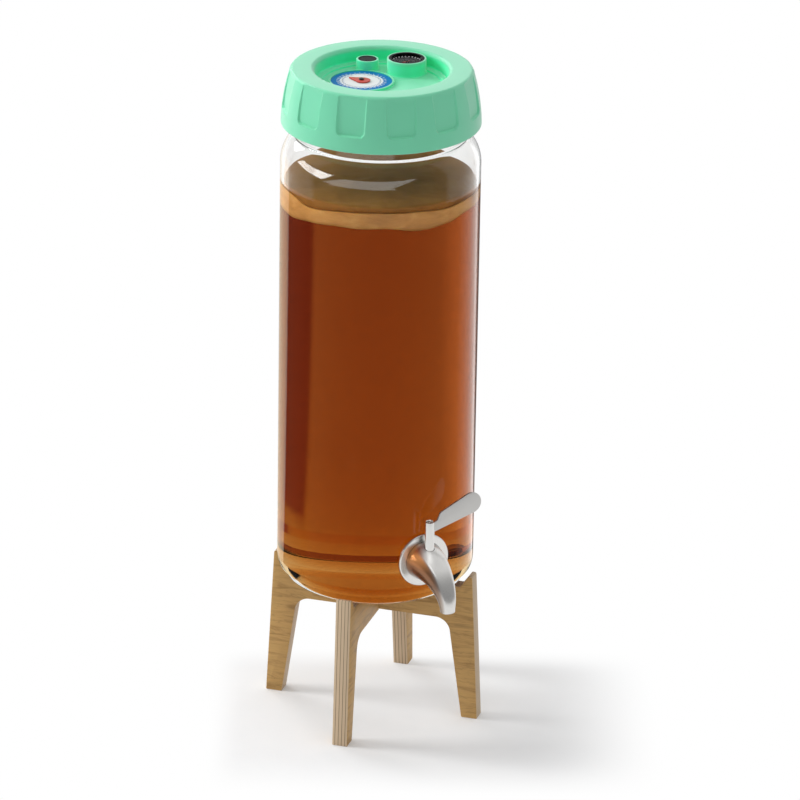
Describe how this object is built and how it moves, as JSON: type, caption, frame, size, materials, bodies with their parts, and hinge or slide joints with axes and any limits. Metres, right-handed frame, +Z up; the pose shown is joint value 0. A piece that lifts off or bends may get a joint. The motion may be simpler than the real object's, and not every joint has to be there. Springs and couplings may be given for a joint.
{
  "type": "kombucha fermenter",
  "caption": "Tall glass fermenting jar with a deep screw lid holding a date dial, thermometer and vent, a curved steel tap with a side lever, and a crossed plywood stand.",
  "frame": {"origin": "on the ground under the centre of the whole part's outline in plan; the jar's own axis is 26.3 mm behind it in +Y", "axes": "+Z up along the jar; the spout points to -Y and the shut lever to +X; the stand's frames lie on the two diagonals"},
  "size_m": [0.165, 0.2175, 0.5683],
  "materials": {
    "birch_plywood": "lacquered birch plywood, laminated edges bare",
    "clear_glass": "clear, polished",
    "tap_steel": "polished stainless steel",
    "brushed_steel": "satin stainless steel",
    "silicone": "translucent white silicone",
    "mint_plastic": "fine satin",
    "dial_card": "printed, semi-gloss",
    "pointer_red": "glossy",
    "black_plastic": "satin black",
    "thermometer_dial": "printed black with white marks",
    "lens_plastic": "clear window",
    "filter_black": "porous, dull black"
  },
  "bodies": {
    "stand": {"stand_frame_a": "birch_plywood", "stand_frame_b": "birch_plywood"},
    "jar": {"glass_jar": "clear_glass", "tap_body": "tap_steel", "tap_flange": "brushed_steel", "tap_outer_gasket": "silicone", "tap_inner_gasket": "silicone", "tap_washer": "brushed_steel", "tap_nut": "brushed_steel", "tap_stem_seal": "silicone"},
    "tap_valve": {"tap_stem": "brushed_steel", "tap_lever": "brushed_steel"},
    "lid_seal": {"lid_gasket": "silicone"},
    "lid": {"lid_shell": "mint_plastic", "date_dial": "dial_card", "date_pivot": "black_plastic", "thermometer_case": "black_plastic", "thermometer_face": "thermometer_dial", "thermometer_hub": "black_plastic", "thermometer_lens": "lens_plastic", "thermometer_bezel": "black_plastic", "vent_filter": "filter_black"},
    "date_hand": {"date_pointer": "pointer_red"},
    "thermometer_hand": {"thermometer_needle": "pointer_red"}
  },
  "joints": [
    {"name": "jar_lift", "type": "slide", "parent": "stand", "child": "jar", "axis": [0, 0, 1], "range_m": [0, 0.15]},
    {"name": "tap_turn", "type": "hinge", "parent": "jar", "child": "tap_valve", "pos_m": [0, -0.0692, 0.1653], "axis": [0, 0, 1], "range_deg": [-90, 0]},
    {"name": "lid_lift", "type": "slide", "parent": "jar", "child": "lid_seal", "axis": [0, 0, 1], "range_m": [0, 0.2]},
    {"name": "lid_turn", "type": "hinge", "parent": "lid_seal", "child": "lid", "pos_m": [0, 0.0263, 0.53], "axis": [0, 0, 1], "range_deg": [0, 540]},
    {"name": "date_turn", "type": "hinge", "parent": "lid", "child": "date_hand", "pos_m": [-0.0132, 0.03669, 0.5556], "axis": [0, 0, 1], "continuous": true},
    {"name": "thermometer_turn", "type": "hinge", "parent": "lid", "child": "thermometer_hand", "pos_m": [0.03201, 0.04351, 0.5635], "axis": [0, 0, 1], "range_deg": [-90, 150], "stiffness_Nm_per_rad": 0.0002}
  ]
}
